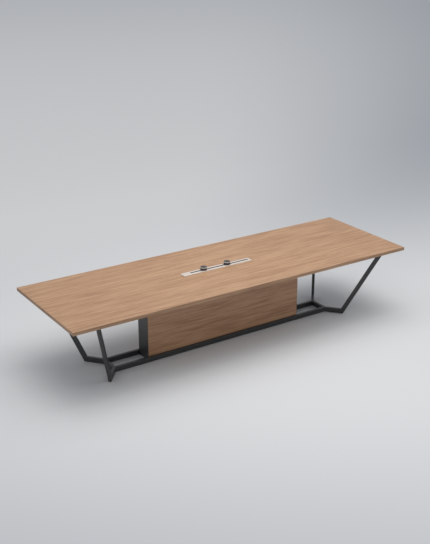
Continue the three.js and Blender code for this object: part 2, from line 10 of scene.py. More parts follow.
import bmesh
import bpy
import numpy as np
from bpy.props import FloatProperty, FloatVectorProperty, IntProperty, PointerProperty
from bpy.types import Operator, Panel, PropertyGroup
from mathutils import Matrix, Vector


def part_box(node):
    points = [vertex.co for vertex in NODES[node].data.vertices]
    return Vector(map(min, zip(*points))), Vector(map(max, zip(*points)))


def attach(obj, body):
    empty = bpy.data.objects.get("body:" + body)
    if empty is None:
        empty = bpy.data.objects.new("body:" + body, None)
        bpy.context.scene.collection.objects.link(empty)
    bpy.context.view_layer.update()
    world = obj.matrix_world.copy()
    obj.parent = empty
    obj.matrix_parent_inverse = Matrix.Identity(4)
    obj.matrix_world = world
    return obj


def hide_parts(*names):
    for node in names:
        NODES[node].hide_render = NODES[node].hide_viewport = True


bl_info = {
    "name": "Conference Table Looks",
    "version": (1, 0, 0),
    "blender": (4, 5, 0),
    "location": "View3D > Sidebar > Table",
    "description": "Finishes and fine shapes of a conference table around its packed solids",
    "category": "Object",
}

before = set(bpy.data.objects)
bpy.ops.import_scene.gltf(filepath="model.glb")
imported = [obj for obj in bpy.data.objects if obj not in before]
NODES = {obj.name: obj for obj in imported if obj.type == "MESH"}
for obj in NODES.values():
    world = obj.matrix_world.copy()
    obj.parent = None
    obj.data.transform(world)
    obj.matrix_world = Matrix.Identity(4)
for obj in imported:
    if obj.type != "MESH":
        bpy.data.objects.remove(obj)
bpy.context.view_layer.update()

# Places and sizes that the fine shapes share with the solids, in metres.
TABLE_HALF_LENGTH = 1.9
TABLE_HALF_WIDTH = 0.6
TABLE_TOP = 0.76
UNDERSIDE = 0.728
BACKING = 0.0008
TUBE_WIDTH = 0.03
RAIL_HEIGHT = 0.05
GLIDE_HEIGHT = 0.003
RAIL_INNER = 0.0865
RAIL_OUTER = 0.1165
BASE_END = 1.291
ARM_REACH = 0.1965
ARM_ROUNDS = 12
LEG_DEPTH = 0.045
LEG_TOP = 0.7239
LEG_END_INSET = 0.251
LEG_SIDE_INSET = 0.049
COLUMN_END = 0.9
TRACK_TOP = 0.768
ADAPTER_PLACES = {"left": -0.205, "right": 0.07}
ADAPTER_RADIUS = 0.033

# Points closer than this are one point, and a corner with this radius stays sharp, in metres.
SAME_POINT = 1e-7
SHARP = 1e-5

# The stage: metres, a sun's spread in radians, the tint of the room's light, and the sensor in millimetres.
FLOOR_REACH = 90.0
SUN_SPREAD = math.radians(45)
ROOM_TINT = (0.95, 0.98, 1.03)
SENSOR = 36

SIDES = {"front": -1, "rear": 1}
ENDS = {"left": -1, "right": 1}
CORNERS = {f"{a}_{b}": (sx, sy) for a, sy in SIDES.items() for b, sx in ENDS.items()}


def srgb(red, green, blue):
    """A colour given as 0 to 255 on a screen, as the linear values that a shader takes."""
    share = np.array([red, green, blue]) / 255
    return tuple(np.where(share <= 0.04045, share / 12.92, ((share + 0.055) / 1.055) ** 2.4))


def toned(colour, factor):
    """A colour times one factor, or times one for each channel, and never brighter than white."""
    return tuple(np.minimum(np.array(colour) * factor, 1))


BACKING_GREY = srgb(150, 148, 146)


# Surfaces


def eased(corners, radius, steps=6):
    """A closed outline with rounded corners, as an (n, 2) array.

    Each corner becomes an arc that touches both of its edges, at radius / tan(half the angle) from the corner. Points
    on the arc are turned evenly from one contact to the other about the arc's centre. One more point before and after
    each arc keeps the flat parts flat in smooth shading.
    """
    corner = np.asarray(corners, float)
    radius = np.broadcast_to(np.asarray(radius, float), len(corner))[:, None]
    to_last = np.roll(corner, 1, 0) - corner
    to_next = np.roll(corner, -1, 0) - corner
    to_last /= np.linalg.norm(to_last, axis=1, keepdims=True)
    to_next /= np.linalg.norm(to_next, axis=1, keepdims=True)
    half = np.arccos(np.clip((to_last * to_next).sum(1, keepdims=True), -1, 1)) / 2
    reach = radius / np.tan(half)
    halving = to_last + to_next
    halving /= np.linalg.norm(halving, axis=1, keepdims=True)
    centre = corner + halving * radius / np.sin(half)
    first = corner + to_last * reach - centre
    final = corner + to_next * reach - centre
    turn = (np.pi - 2 * half)[:, None]
    share = np.linspace(0, 1, steps + 1)[None, :, None]
    arc = (np.sin((1 - share) * turn) * first[:, None] + np.sin(share * turn) * final[:, None]) / np.sin(turn)
    arc += centre[:, None]
    beyond = 1.15 * reach
    before = (corner + to_last * beyond)[:, None]
    after = (corner + to_next * beyond)[:, None]
    return np.concatenate([before, arc, after], 1).reshape(-1, 2)


def rectangle(width, height):
    """The four corners of a rectangle about the origin."""
    return np.array([[-1, -1], [1, -1], [1, 1], [-1, 1]]) * [width / 2, height / 2]


def shell(grid, ring=False):
    """Points of a closed surface from a (rows, columns, 3) grid, and arrays of its faces.

    Columns close on themselves. Rows do so too in a ring; otherwise the first and the last row are filled. The faces
    are turned outwards by the sign of the volume that they enclose.
    """
    rows, columns = grid.shape[:2]
    i, j = np.meshgrid(np.arange(rows if ring else rows - 1), np.arange(columns), indexing="ij")
    down, right = (i + 1) % rows, (j + 1) % columns
    quads = np.stack([i * columns + j, i * columns + right, down * columns + right, down * columns + j], -1)
    quads = quads.reshape(-1, 4)
    points = grid.reshape(-1, 3)
    a, b, c, d = (points[quads[:, k]] - points.mean(0) for k in range(4))
    volume = (np.cross(a, b) * c).sum() + (np.cross(a, c) * d).sum()
    row = np.arange(columns)[None]
    faces = [quads] if ring else [quads, row[:, ::-1], row + (rows - 1) * columns]
    if volume < 0:
        faces = [each[:, ::-1] for each in faces]
    return points, faces


def cut_tube(origin, along, side, section, start, end):
    """A section carried straight along an axis and cut off by planes.

    A point (u, v) of the section runs on the line origin + u side + v (along x side). The line starts at the last of
    the start planes that it meets and ends at the first of the end planes. A plane is a point and a normal.
    """
    along, side = np.asarray(along, float), np.asarray(side, float)
    third = np.cross(along, side)
    line = np.asarray(origin, float) + section[:, :1] * side + section[:, 1:] * third

    def meets(plane):
        point, normal = (np.asarray(part, float) for part in plane)
        return ((point - line) @ normal) / (along @ normal)

    first = np.max([meets(plane) for plane in start], 0)
    final = np.min([meets(plane) for plane in end], 0)
    return shell(np.stack([line + first[:, None] * along, line + final[:, None] * along]))


def drawn_x(section, x0, x1):
    """A (y, z) outline carried along x from x0 to x1."""
    along = (1, 0, 0)
    return cut_tube((0, 0, 0), along, (0, 1, 0), section, [((x0, 0, 0), along)], [((x1, 0, 0), along)])


def drawn_y(section, y0, y1):
    """An outline in (z, x) carried along y from y0 to y1."""
    along = (0, 1, 0)
    return cut_tube((0, 0, 0), along, (0, 0, 1), section, [((0, y0, 0), along)], [((0, y1, 0), along)])


def drawn_z(section, z0, z1):
    """An (x, y) outline carried up from z0 to z1."""
    along = (0, 0, 1)
    return cut_tube((0, 0, 0), along, (1, 0, 0), section, [((0, 0, z0), along)], [((0, 0, z1), along)])


def turned(profile, centre, steps):
    """A closed (radius, z) profile turned about the vertical through centre: x = r cos t, y = r sin t, z as drawn."""
    angle = np.linspace(0, 2 * np.pi, steps, endpoint=False)
    r, z = profile[:, :1], profile[:, 1:]
    grid = np.stack([r * np.cos(angle), r * np.sin(angle), z + 0 * angle], -1)
    return shell(grid + np.asarray(centre, float), ring=True)


def put(name, shells, material, body, replaces=(), sharp=35):
    """One object from closed shells, with its place in its mesh, riding on a body.

    Edges that turn by more than the sharp angle, in degrees, stay crisp in smooth shading.
    """
    starts = np.cumsum([0] + [len(points) for points, _ in shells])
    points = np.concatenate([points for points, _ in shells])
    faces = []
    for start, (_, arrays) in zip(starts, shells):
        for array in arrays:
            faces += (array + start).tolist()
    mesh = bpy.data.meshes.new(name)
    mesh.from_pydata(points.tolist(), [], faces)
    welded = bmesh.new()
    welded.from_mesh(mesh)
    bmesh.ops.remove_doubles(welded, verts=welded.verts, dist=SAME_POINT)
    welded.to_mesh(mesh)
    welded.free()
    mesh.polygons.foreach_set("use_smooth", np.ones(len(mesh.polygons), bool))
    mesh.set_sharp_from_angle(angle=math.radians(sharp))
    mesh.materials.append(material)
    piece = bpy.data.objects.new(name, mesh)
    bpy.context.scene.collection.objects.link(piece)
    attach(piece, body)
    if replaces:
        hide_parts(*replaces)


def paint(material, *names):
    """Gives solids that keep their shape a finish."""
    for name in names:
        mesh = NODES[name].data
        mesh.materials.clear()
        mesh.materials.append(material)


# Shaders


class Value:
    """A node's output in a sum: each operation on it adds one Math node."""

    def __init__(self, graph, socket):
        self.graph = graph
        self.socket = socket

    def math(self, operation, *terms):
        """One Math node on values and numbers."""
        return self.graph.node("ShaderNodeMath", {"operation": operation}, dict(enumerate(terms)))

    def __add__(self, other):
        return self.math("ADD", self, other)

    def __sub__(self, other):
        return self.math("SUBTRACT", self, other)

    def __rsub__(self, other):
        return self.math("SUBTRACT", other, self)

    def __mul__(self, other):
        return self.math("MULTIPLY", self, other)

    __radd__ = __add__
    __rmul__ = __mul__

    def size(self):
        return self.math("ABSOLUTE", self)

    def sine(self):
        return self.math("SINE", self)

    def clear(self, low, high):
        """0 below low, 1 above high, and smooth between them."""
        settings = {"interpolation_type": "SMOOTHSTEP"}
        return self.graph.node("ShaderNodeMapRange", settings, {"Value": self, "From Min": low, "From Max": high})


class Graph:
    """The nodes of one material or of the world."""

    def __init__(self, owner):
        self.owner = owner
        owner.use_nodes = True
        self.tree = owner.node_tree
        self.tree.nodes.clear()

    @cached_property
    def place(self):
        """The piece's own coordinates, in metres."""
        return self.node("ShaderNodeTexCoord", output="Object")

    def node(self, kind, settings=None, inputs=None, output=0):
        """Adds a node, sets it up, fills or links its inputs, and returns one of its outputs."""
        node = self.tree.nodes.new(kind)
        for key, value in (settings or {}).items():
            setattr(node, key, value)
        for key, value in (inputs or {}).items():
            if isinstance(value, Value):
                self.tree.links.new(value.socket, node.inputs[key])
            else:
                node.inputs[key].default_value = value
        return Value(self, node.outputs[output]) if node.outputs else None

    def axis(self, name):
        """The place along one axis, X, Y or Z."""
        return self.node("ShaderNodeSeparateXYZ", None, {"Vector": self.place}, output=name)

    def stretched(self, scale, shift=(0, 0, 0)):
        """The place, multiplied along each axis and moved."""
        return self.node("ShaderNodeMapping", None, {"Vector": self.place, "Location": shift, "Scale": scale})

    def noise(self, vector, scale=1, detail=2, roughness=0.5):
        """Soft noise between 0 and 1, with its mean near 0.5."""
        inputs = {"Vector": vector, "Scale": scale, "Detail": detail, "Roughness": roughness}
        return self.node("ShaderNodeTexNoise", None, inputs)

    def mix(self, share, first, second):
        """A colour between two others."""
        picked = [(*c, 1) if isinstance(c, (tuple, list)) else c for c in (first, second)]
        settings = {"data_type": "RGBA", "clamp_factor": True}
        return self.node("ShaderNodeMix", settings, {0: share, 6: picked[0], 7: picked[1]}, output=2)

    def bump(self, height, strength, distance):
        """A normal that a height between 0 and 1 tilts, where 1 stands for a distance in metres."""
        return self.node("ShaderNodeBump", None, {"Height": height, "Strength": strength, "Distance": distance})

    def finish(self, **inputs):
        """The surface, from named inputs of one Principled shader."""
        named = {key.replace("_", " ").title().replace("Ior", "IOR"): value for key, value in inputs.items()}
        named = {key: (*v, 1) if isinstance(v, (tuple, list)) else v for key, v in named.items()}
        surface = self.node("ShaderNodeBsdfPrincipled", None, named)
        self.node("ShaderNodeOutputMaterial", None, {"Surface": surface})
        return self.owner


def along_axis(axis, along, across):
    """A scale triple that is small along one axis and large across it."""
    return tuple(along if k == axis else across for k in range(3))


def wood(name, light, dark, axis, shift=(0, 0, 0), backed_below=None):
    """Flat-cut veneer with its grain along one axis.

    The figure is the contour lines of a slow noise, stretched along the grain. Streaks, fine fibres and short dark
    pores are quicker noises, stretched in the same way, and one broad noise varies the tone of the leaves. Below a
    given height the board shows its grey backing sheet, which varies a little with the same noises.
    """
    g = Graph(bpy.data.materials.new(name))

    def grain(along, across, detail, roughness=0.5):
        """A noise that is slow along the grain and quick across it."""
        return g.noise(g.stretched(along_axis(axis, along, across), shift), 1, detail, roughness)

    contours = 60
    figure = (grain(0.3, 4.2, 2, 0.45) * contours).sine() * 0.5 + 0.5
    streak = grain(2.6, 70, 4, 0.62)
    fibre = grain(9, 520, 2, 0.6)
    pore = grain(16, 760, 1).clear(0.62, 0.72)
    broad = grain(0.35, 7, 2)
    tone = figure * 0.12 + streak * 1.3 + fibre * 0.6 + broad * 0.15
    colour = g.mix(tone.clear(0.82, 1.3), dark, light)
    colour = g.mix(pore * 0.35, colour, toned(dark, 0.55))
    if backed_below is not None:
        backing = g.mix(fibre + broad - 0.5, toned(BACKING_GREY, 0.92), toned(BACKING_GREY, 1.08))
        colour = g.mix(g.axis("Z").clear(backed_below, backed_below + BACKING), backing, colour)
    rough = 0.42 + fibre * 0.1 + pore * 0.12
    height = fibre * 0.4 + streak * 0.25 - pore * 0.6
    return g.finish(base_color=colour, roughness=rough, normal=g.bump(height, 0.12, 0.0004))


def powder_coat(name, colour):
    """Baked matt paint: a fine orange-peel skin and a slight change of gloss."""
    g = Graph(bpy.data.materials.new(name))
    peel = g.noise(g.place, scale=950)
    patch = g.noise(g.place, scale=7, detail=3, roughness=0.55)
    shade = g.mix(patch, toned(colour, 0.9), toned(colour, 1.12))
    rough = 0.32 + patch * 0.1 + peel * 0.06
    return g.finish(base_color=shade, roughness=rough, specular_ior_level=0.65, normal=g.bump(peel, 0.18, 0.0003))


def moulded(name, colour, roughness):
    """Moulded plastic with a fine spark-eroded grain."""
    g = Graph(bpy.data.materials.new(name))
    grain = g.noise(g.place, scale=2600, roughness=0.6)
    patch = g.noise(g.place, scale=30)
    shade = g.mix(patch, toned(colour, 0.92), toned(colour, 1.1))
    return g.finish(base_color=shade, roughness=roughness + grain * 0.12, normal=g.bump(grain, 0.12, 0.0001))


def brushed(name, colour, scale, metallic, roughness, cover=None):
    """Metal with fine lines in the direction in which the scale is small.

    A cover is a colour, an axis and two distances from the origin along it: dark plastic lies over the metal on the
    first one's side, and the metal is bare on the second one's side.
    """
    g = Graph(bpy.data.materials.new(name))
    line = g.noise(g.stretched(scale), detail=3, roughness=0.6)
    patch = g.noise(g.place, scale=9)
    shade = g.mix(line * 0.6 + patch * 0.4, toned(colour, 0.9), toned(colour, 1.06))
    if cover is not None:
        dark, axis, covered, bare = cover
        bare = g.axis(axis).size().clear(covered, bare)
        shade, metallic = g.mix(bare, dark, shade), bare * metallic
    rough = roughness + line * 0.14
    return g.finish(base_color=shade, metallic=metallic, roughness=rough, normal=g.bump(line, 0.08, 0.0001))


def galvanised(name, colour):
    """Zinc spangle: crystal cells of slightly different brightness and gloss."""
    g = Graph(bpy.data.materials.new(name))
    cell = g.node("ShaderNodeTexVoronoi", None, {"Vector": g.place, "Scale": 90}, output="Color")
    tint = g.node("ShaderNodeSeparateColor", None, {"Color": cell})
    shade = g.mix(tint, toned(colour, 0.82), toned(colour, 1.1))
    return g.finish(base_color=shade, metallic=0.85, roughness=0.36 + tint * 0.16)


def pressed_board(name, colour):
    """Chip board: flakes of different tones."""
    g = Graph(bpy.data.materials.new(name))
    place = g.stretched((160, 160, 60))
    flake = g.node("ShaderNodeTexVoronoi", None, {"Vector": place, "Scale": 1}, output="Color")
    tint = g.node("ShaderNodeSeparateColor", None, {"Color": flake})
    shade = g.mix(tint, toned(colour, 0.72), toned(colour, 1.2))
    return g.finish(base_color=shade, roughness=0.75, normal=g.bump(tint, 0.15, 0.0004))


# Settings that a user would change


class TopSettings(PropertyGroup):
    """Wood of the top, its edge bands and the column"""

    light: FloatVectorProperty(
        name="Light grain", description="Light tone of the wood", subtype="COLOR", default=srgb(185, 146, 112)
    )
    dark: FloatVectorProperty(
        name="Dark grain", description="Dark tone of the wood", subtype="COLOR", default=srgb(153, 113, 81)
    )
    # Painted shade: this tint makes the top's wood darker and a little cooler on the edge bands, whose upright faces
    # take less light.
    band_painted_shade: FloatVectorProperty(
        name="Band tint", description="Tint of the edge bands", subtype="COLOR", default=(0.81, 0.835, 0.86)
    )
    panel_tint: FloatVectorProperty(
        name="Panel tint", description="Tint of the column's panels", subtype="COLOR", default=(0.99, 0.94, 0.94)
    )
    band_radius: FloatProperty(
        name="Edge radius", description="Rounding of the edge bands", subtype="DISTANCE", unit="LENGTH", default=0.0012
    )


class BaseSettings(PropertyGroup):
    """Painted steel of the base"""

    coat: FloatVectorProperty(
        name="Paint", description="Colour of the powder coat", subtype="COLOR", default=srgb(46, 46, 46)
    )
    corner: FloatProperty(
        name="Tube corner", description="Outer corner radius", subtype="DISTANCE", unit="LENGTH", default=0.004
    )
    screw_head: FloatProperty(
        name="Screw head", description="Radius of a screw's head", subtype="DISTANCE", unit="LENGTH", default=0.0052
    )


class TrackSettings(PropertyGroup):
    """Slotted channel of the power track"""

    metal: FloatVectorProperty(
        name="Metal", description="Colour of the track", subtype="COLOR", default=srgb(211, 199, 188)
    )
    lead_in: FloatProperty(
        name="Slot chamfer", description="Chamfer of the slot's lips", subtype="DISTANCE", unit="LENGTH", default=0.0024
    )
    edge: FloatProperty(
        name="Edge radius", description="Rounding of the channel", subtype="DISTANCE", unit="LENGTH", default=0.0006
    )


class AdapterSettings(PropertyGroup):
    """Turned shells of the socket adapters"""

    shell: FloatVectorProperty(
        name="Shell", description="Colour of the plastic", subtype="COLOR", default=srgb(62, 62, 64)
    )
    ring: FloatVectorProperty(
        name="Ring", description="Colour of the trim ring", subtype="COLOR", default=srgb(240, 238, 235)
    )
    rim: FloatProperty(
        name="Rim", description="Height of the dark rim on the ring", subtype="DISTANCE", unit="LENGTH", default=0.0014
    )
    steps: IntProperty(name="Facets", description="Facets of the turned pieces", default=96, min=24)


class StageSettings(PropertyGroup):
    """Floor, light and camera"""

    floor: FloatVectorProperty(
        name="Floor", description="Colour of the floor", subtype="COLOR", default=srgb(225, 224, 223)
    )
    ambient: FloatProperty(name="Room", description="Strength of the light from all sides", default=0.535, min=0)
    sun: FloatProperty(name="Sun", description="Strength of the light from straight above", default=0.725, min=0)
    overhead: FloatProperty(
        name="Overhead", description="Power of the soft box over the table", unit="POWER", default=29, min=0
    )
    front: FloatProperty(
        name="Front", description="Power of the high soft box in front", unit="POWER", default=82, min=0
    )
    camera: FloatVectorProperty(
        name="Camera", description="Place of the camera", subtype="TRANSLATION", default=(-4.9025, -7.2815, 4.1657)
    )
    yaw: FloatProperty(
        name="Yaw", description="Turn of the camera to the right of +Y", subtype="ANGLE", default=math.radians(33.56)
    )
    pitch: FloatProperty(
        name="Pitch", description="Tilt of the camera below level", subtype="ANGLE", default=math.radians(21.55)
    )
    lens: FloatProperty(
        name="Lens", description="Focal length in millimetres", unit="CAMERA", default=62.98, min=1
    )


# Pieces


class TABLE_OT_top(Operator):
    """Finish the board and give it rounded edge bands"""

    bl_idname = "table.top"
    bl_label = "Table Top"

    def execute(self, context):
        settings = context.scene.table_top
        light, dark = tuple(settings.light), tuple(settings.dark)
        paint(wood("top_veneer", light, dark, 0, backed_below=UNDERSIDE), "table_top")
        # Painted shade: the bands take the top's wood, darkened and cooled by the band tint for their less lit upright
        # faces.
        light, dark = (toned(tone, tuple(settings.band_painted_shade)) for tone in (light, dark))
        long_edge = wood("long_edge_veneer", light, dark, 0, (0.3, 0.7, 0.2))
        short_edge = wood("short_edge_veneer", light, dark, 1, (0.1, 0.4, 0.9))
        for side in SIDES:
            low, high = (np.array(corner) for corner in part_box(f"{side}_edge_band"))
            section = self.section(low[[1, 2]], high[[1, 2]], settings.band_radius)
            bar = drawn_x(section, low[0], high[0])
            put(f"{side}_band", [bar], long_edge, "table", [f"{side}_edge_band"])
        for end in ENDS:
            low, high = (np.array(corner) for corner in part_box(f"{end}_edge_band"))
            section = self.section(low[[2, 0]], high[[2, 0]], settings.band_radius)
            bar = drawn_y(section, low[1], high[1])
            put(f"{end}_band", [bar], short_edge, "table", [f"{end}_edge_band"])
        return {"FINISHED"}

    @staticmethod
    def section(low, high, radius):
        """A band's section between two corners, rounded on the two corners away from the table's middle."""
        corners = rectangle(*(high - low)) + (low + high) / 2
        thin = int(np.argmin(high - low))
        outside = np.abs(corners[:, thin]) > np.abs((low + high)[thin] / 2)
        return eased(corners, np.where(outside, radius, SHARP), 5)


def arm_plan():
    """Plan of one corner of the base, where x and y are positive.

    The arm's direction runs from the middle of the cut, which is square to it, to the leg's place under the top. The
    cut moves with the angle, so the angle is refined step by step.
    """
    run = np.array([TABLE_HALF_LENGTH - LEG_END_INSET - BASE_END, TABLE_HALF_WIDTH - LEG_SIDE_INSET - RAIL_OUTER])
    straight = math.atan2(run[1], run[0])
    angle = straight
    for _ in range(ARM_ROUNDS):
        angle = straight + math.asin(TUBE_WIDTH / 2 * math.cos(2 * angle) / np.hypot(*run))
    arm = np.array([math.cos(angle), math.sin(angle)])
    rail_cut = np.array([BASE_END - TUBE_WIDTH * arm[1], RAIL_OUTER])
    bar_cut = np.array([BASE_END, RAIL_OUTER - TUBE_WIDTH * arm[0]])
    mitre = np.array([BASE_END - TUBE_WIDTH, RAIL_INNER])
    mitre_end = mitre + ((rail_cut - mitre) @ arm) / arm.sum()
    return arm, (rail_cut + bar_cut) / 2, mitre_end


class TABLE_OT_base(Operator):
    """Build the welded tubes of the base with rounded corners and clean mitres"""

    bl_idname = "table.base"
    bl_label = "Steel Base"

    def execute(self, context):
        settings = context.scene.table_base
        coat = powder_coat("base_coat", tuple(settings.coat))
        radius = settings.corner
        arm, root, mitre_end = arm_plan()
        middle_z = GLIDE_HEIGHT + RAIL_HEIGHT / 2
        level = eased(rectangle(TUBE_WIDTH, RAIL_HEIGHT), radius)

        def corner_planes(sx, sy):
            """The mitre between a rail and an end bar, and the cut that the arm stands on."""
            at = (sx * mitre_end[0], sy * mitre_end[1], 0)
            return [(at, (sx, -sy, 0)), (at, (sx * arm[0], sy * arm[1], 0))]

        for side, sy in SIDES.items():
            origin = (0, sy * (RAIL_INNER + RAIL_OUTER) / 2, middle_z)
            section = self.split(level, mitre_end[1] * sy - origin[1])
            tube = cut_tube(origin, (1, 0, 0), (0, 1, 0), section, corner_planes(-1, sy), corner_planes(1, sy))
            put(f"{side}_rail_tube", [tube], coat, "table", [f"{side}_rail"])
        for end, sx in ENDS.items():
            origin = (sx * (BASE_END - TUBE_WIDTH / 2), 0, middle_z)
            section = self.split(level, mitre_end[0] * sx - origin[0])
            tube = cut_tube(origin, (0, 1, 0), (1, 0, 0), section, corner_planes(sx, -1), corner_planes(sx, 1))
            put(f"{end}_bar_tube", [tube], coat, "table", [f"{end}_end_bar"])
            low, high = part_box(f"{end}_cross_tube")
            origin = (sx * (COLUMN_END - TUBE_WIDTH / 2), 0, middle_z)
            across = (0, 1, 0)
            tube = cut_tube(origin, across, (1, 0, 0), level, [(low, across)], [(high, across)])
            put(f"{end}_foot_tube", [tube], coat, "table", [f"{end}_cross_tube"])

        foot = np.array([TABLE_HALF_LENGTH - LEG_END_INSET, TABLE_HALF_WIDTH - LEG_SIDE_INSET])
        lean = math.atan2(np.hypot(*(foot - root)) - ARM_REACH, LEG_TOP - GLIDE_HEIGHT)
        floor_width = LEG_DEPTH / math.cos(lean)
        crook = ARM_REACH + RAIL_HEIGHT * math.tan(lean) - floor_width
        upright = eased(rectangle(TUBE_WIDTH, LEG_DEPTH), radius)
        for name, (sx, sy) in CORNERS.items():
            along = np.array([sx * arm[0], sy * arm[1], 0])
            side = np.array([-sy * arm[1], sx * arm[0], 0])
            start = np.array([sx * root[0], sy * root[1], 0])
            toe = start + along * ARM_REACH + [0, 0, GLIDE_HEIGHT]
            mitre = (toe, along * RAIL_HEIGHT + np.array([0, 0, ARM_REACH - crook]))
            tube = cut_tube(start + [0, 0, middle_z], along, side, level, [(start, along)], [mitre])
            put(f"{name}_arm_tube", [tube], coat, "table", [f"{name}_arm"])
            rise = along * math.sin(lean) + np.array([0, 0, math.cos(lean)])
            heel = toe - along * floor_width / 2
            tube = cut_tube(heel, rise, side, upright, [mitre], [((0, 0, LEG_TOP), (0, 0, 1))])
            put(f"{name}_leg_tube", [tube], coat, "table", [f"{name}_leg"])
            self.screws(name, coat, settings.screw_head)
        paint(coat, *(f"{name}_leg_plate" for name in CORNERS))
        pad = moulded("glide_nylon", srgb(34, 34, 35), 0.5)
        paint(pad, *(f"{name}_{kind}_glide" for name in CORNERS for kind in ("toe", "rail")))
        return {"FINISHED"}

    @staticmethod
    def split(section, u):
        """The section with a point added where each of its edges crosses u, so that two cuts meet on a point."""
        following = np.roll(section, -1, 0)
        crossing = (section[:, 0] - u) * (following[:, 0] - u) < 0
        share = (u - section[crossing, 0]) / (following[crossing, 0] - section[crossing, 0])
        added = section[crossing] + share[:, None] * (following[crossing] - section[crossing])
        return np.insert(section, np.flatnonzero(crossing) + 1, added, 0)

    @staticmethod
    def screws(name, coat, head):
        """Four pan-head screws in the plate of a leg.

        The head is a flat dome, z = -height (1 - (r / head)^4), with a cross recess. The recess is as deep as the
        larger of two bars, each 1 inside its half width and half length and falling evenly to 0.
        """
        plate = NODES[f"{name}_leg_plate"].data
        points = np.empty(len(plate.vertices) * 3, np.float32)
        plate.vertices.foreach_get("co", points)
        points = points.reshape(-1, 3).astype(float)
        under = points[:, 2].min()
        seat = 0.0001
        centres = TABLE_OT_base.hole_centres(points[points[:, 2] < under + seat][:, :2])
        height, shank, shank_end, dome_rows, steps = 0.0026, 0.0022, 0.0038, 22, 48
        depth, half_width, half_length, width_slope, length_slope = 0.0014, 0.00075, 0.0026, 0.0003, 0.0006
        r = np.concatenate([np.linspace(0, 0.97, dome_rows) * head, [head, head * 0.99, shank, shank, 0]])
        z = -height * (1 - np.minimum(r / head, 1) ** 4)
        z[-4:] = [0, 0, shank_end, shank_end]
        angle = np.linspace(0, 2 * np.pi, steps, endpoint=False)
        x, y = r[:, None] * np.cos(angle), r[:, None] * np.sin(angle)

        def bar(a, b):
            wide = np.clip((half_width - np.abs(a)) / width_slope + 0.5, 0, 1)
            long = np.clip((half_length - np.abs(b)) / length_slope + 0.5, 0, 1)
            return wide * long

        recess = depth * np.maximum(bar(x, y), bar(y, x))
        recess[dome_rows:] = 0
        grid = np.stack([x, y, z[:, None] + recess], -1)
        heads = [shell(grid + [*centre, under - seat]) for centre in centres]
        put(f"{name}_screws", heads, coat, "table", sharp=30)

    @staticmethod
    def hole_centres(points):
        """Centres of the four holes of a plate: points away from its outline, grouped by the quarter they lie in."""
        margin = 0.004
        centre = points.mean(0)
        reach = np.linalg.norm(points - centre, axis=1)
        inner = points[reach < reach.max() - margin] - centre
        spread = np.linalg.svd(inner, full_matrices=False)[2]
        quarter = (inner @ spread[0] > 0) * 2 + (inner @ spread[1] > 0)
        return [inner[quarter == k].mean(0) + centre for k in range(4)]


class TABLE_OT_column(Operator):
    """Finish the cable column and give its end covers rounded folds"""

    bl_idname = "table.column"
    bl_label = "Cable Column"

    def execute(self, context):
        settings = context.scene.table_top
        light, dark = (toned(tone, tuple(settings.panel_tint)) for tone in (settings.light, settings.dark))
        veneer = wood("column_veneer", light, dark, 0, (0.6, 0.2, 0.4))
        paint(veneer, "column_front_panel", "column_rear_panel")
        coat = powder_coat("cover_coat", tuple(context.scene.table_base.coat))
        sheet, fold, flap = 0.002, 0.0749, 0.025
        web, inside = COLUMN_END - sheet, fold - sheet
        tip = web - flap
        soft = [0.0012] + [0.0003] * 5
        for end, sx in ENDS.items():
            low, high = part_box(f"column_{end}_end")
            half = [(COLUMN_END, high.y), (web, high.y), (web, fold), (tip, fold), (tip, inside), (web, inside)]
            outline = np.array(half + [(x, -y) for x, y in half[::-1]]) * [sx, 1]
            cover = drawn_z(eased(outline, soft + soft[::-1], 4), low.z, high.z)
            put(f"{end}_cover", [cover], coat, "table", [f"column_{end}_end"])
        paint(galvanised("cleat_zinc", srgb(178, 182, 185)), "column_front_cleat", "column_rear_cleat")
        paint(pressed_board("divider_board", srgb(164, 134, 108)), "column_divider")
        return {"FINISHED"}


class TABLE_OT_track(Operator):
    """Build the slotted channel with eased edges and finish the parts in it"""

    bl_idname = "table.track"
    bl_label = "Power Track"

    def execute(self, context):
        settings = context.scene.table_track
        low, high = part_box("track_channel")
        flange, trough, cavity, slot = high.y, 0.0225, 0.02, 0.0065
        lip_thickness, chamfer, seat_gap, wall, seam = 0.005, 0.003, 0.0001, 0.0025, 0.0003
        lip, rest = TRACK_TOP - lip_thickness, TABLE_TOP + seat_gap
        mouth = slot + settings.lead_in
        half = [
            (trough, low.z), (trough, rest), (flange, rest), (flange, TRACK_TOP - chamfer),
            (flange - chamfer, TRACK_TOP), (mouth, TRACK_TOP), (slot, TRACK_TOP - settings.lead_in), (slot, lip),
            (cavity, lip), (cavity, low.z + wall),
        ]
        soft = np.array([0.5, 0.3, 0.4, 1.4, 1.4, 0.6, 0.6, 0.6, 0.3, 0.3]) * settings.edge
        section = np.array(half + [(-y, z) for y, z in half[::-1]])
        channel = drawn_x(eased(section, np.concatenate([soft, soft[::-1]]), 4), low.x, high.x)
        drawn_metal = (tuple(settings.metal), (4, 900, 900), 0.2, 0.34)
        lips = (srgb(30, 30, 31), "Y", mouth, mouth + seam)
        put("channel", [channel], brushed("slotted_metal", *drawn_metal, lips), "table", ["track_channel"])
        paint(brushed("track_metal", *drawn_metal), "track_feed_cap", "track_end_cap")
        paint(moulded("liner_plastic", srgb(38, 39, 41), 0.5), "track_liner")
        copper = brushed("strip_copper", srgb(196, 128, 84), (6, 800, 800), 1.0, 0.24)
        paint(copper, "live_strip", "neutral_strip", "earth_strip")
        return {"FINISHED"}


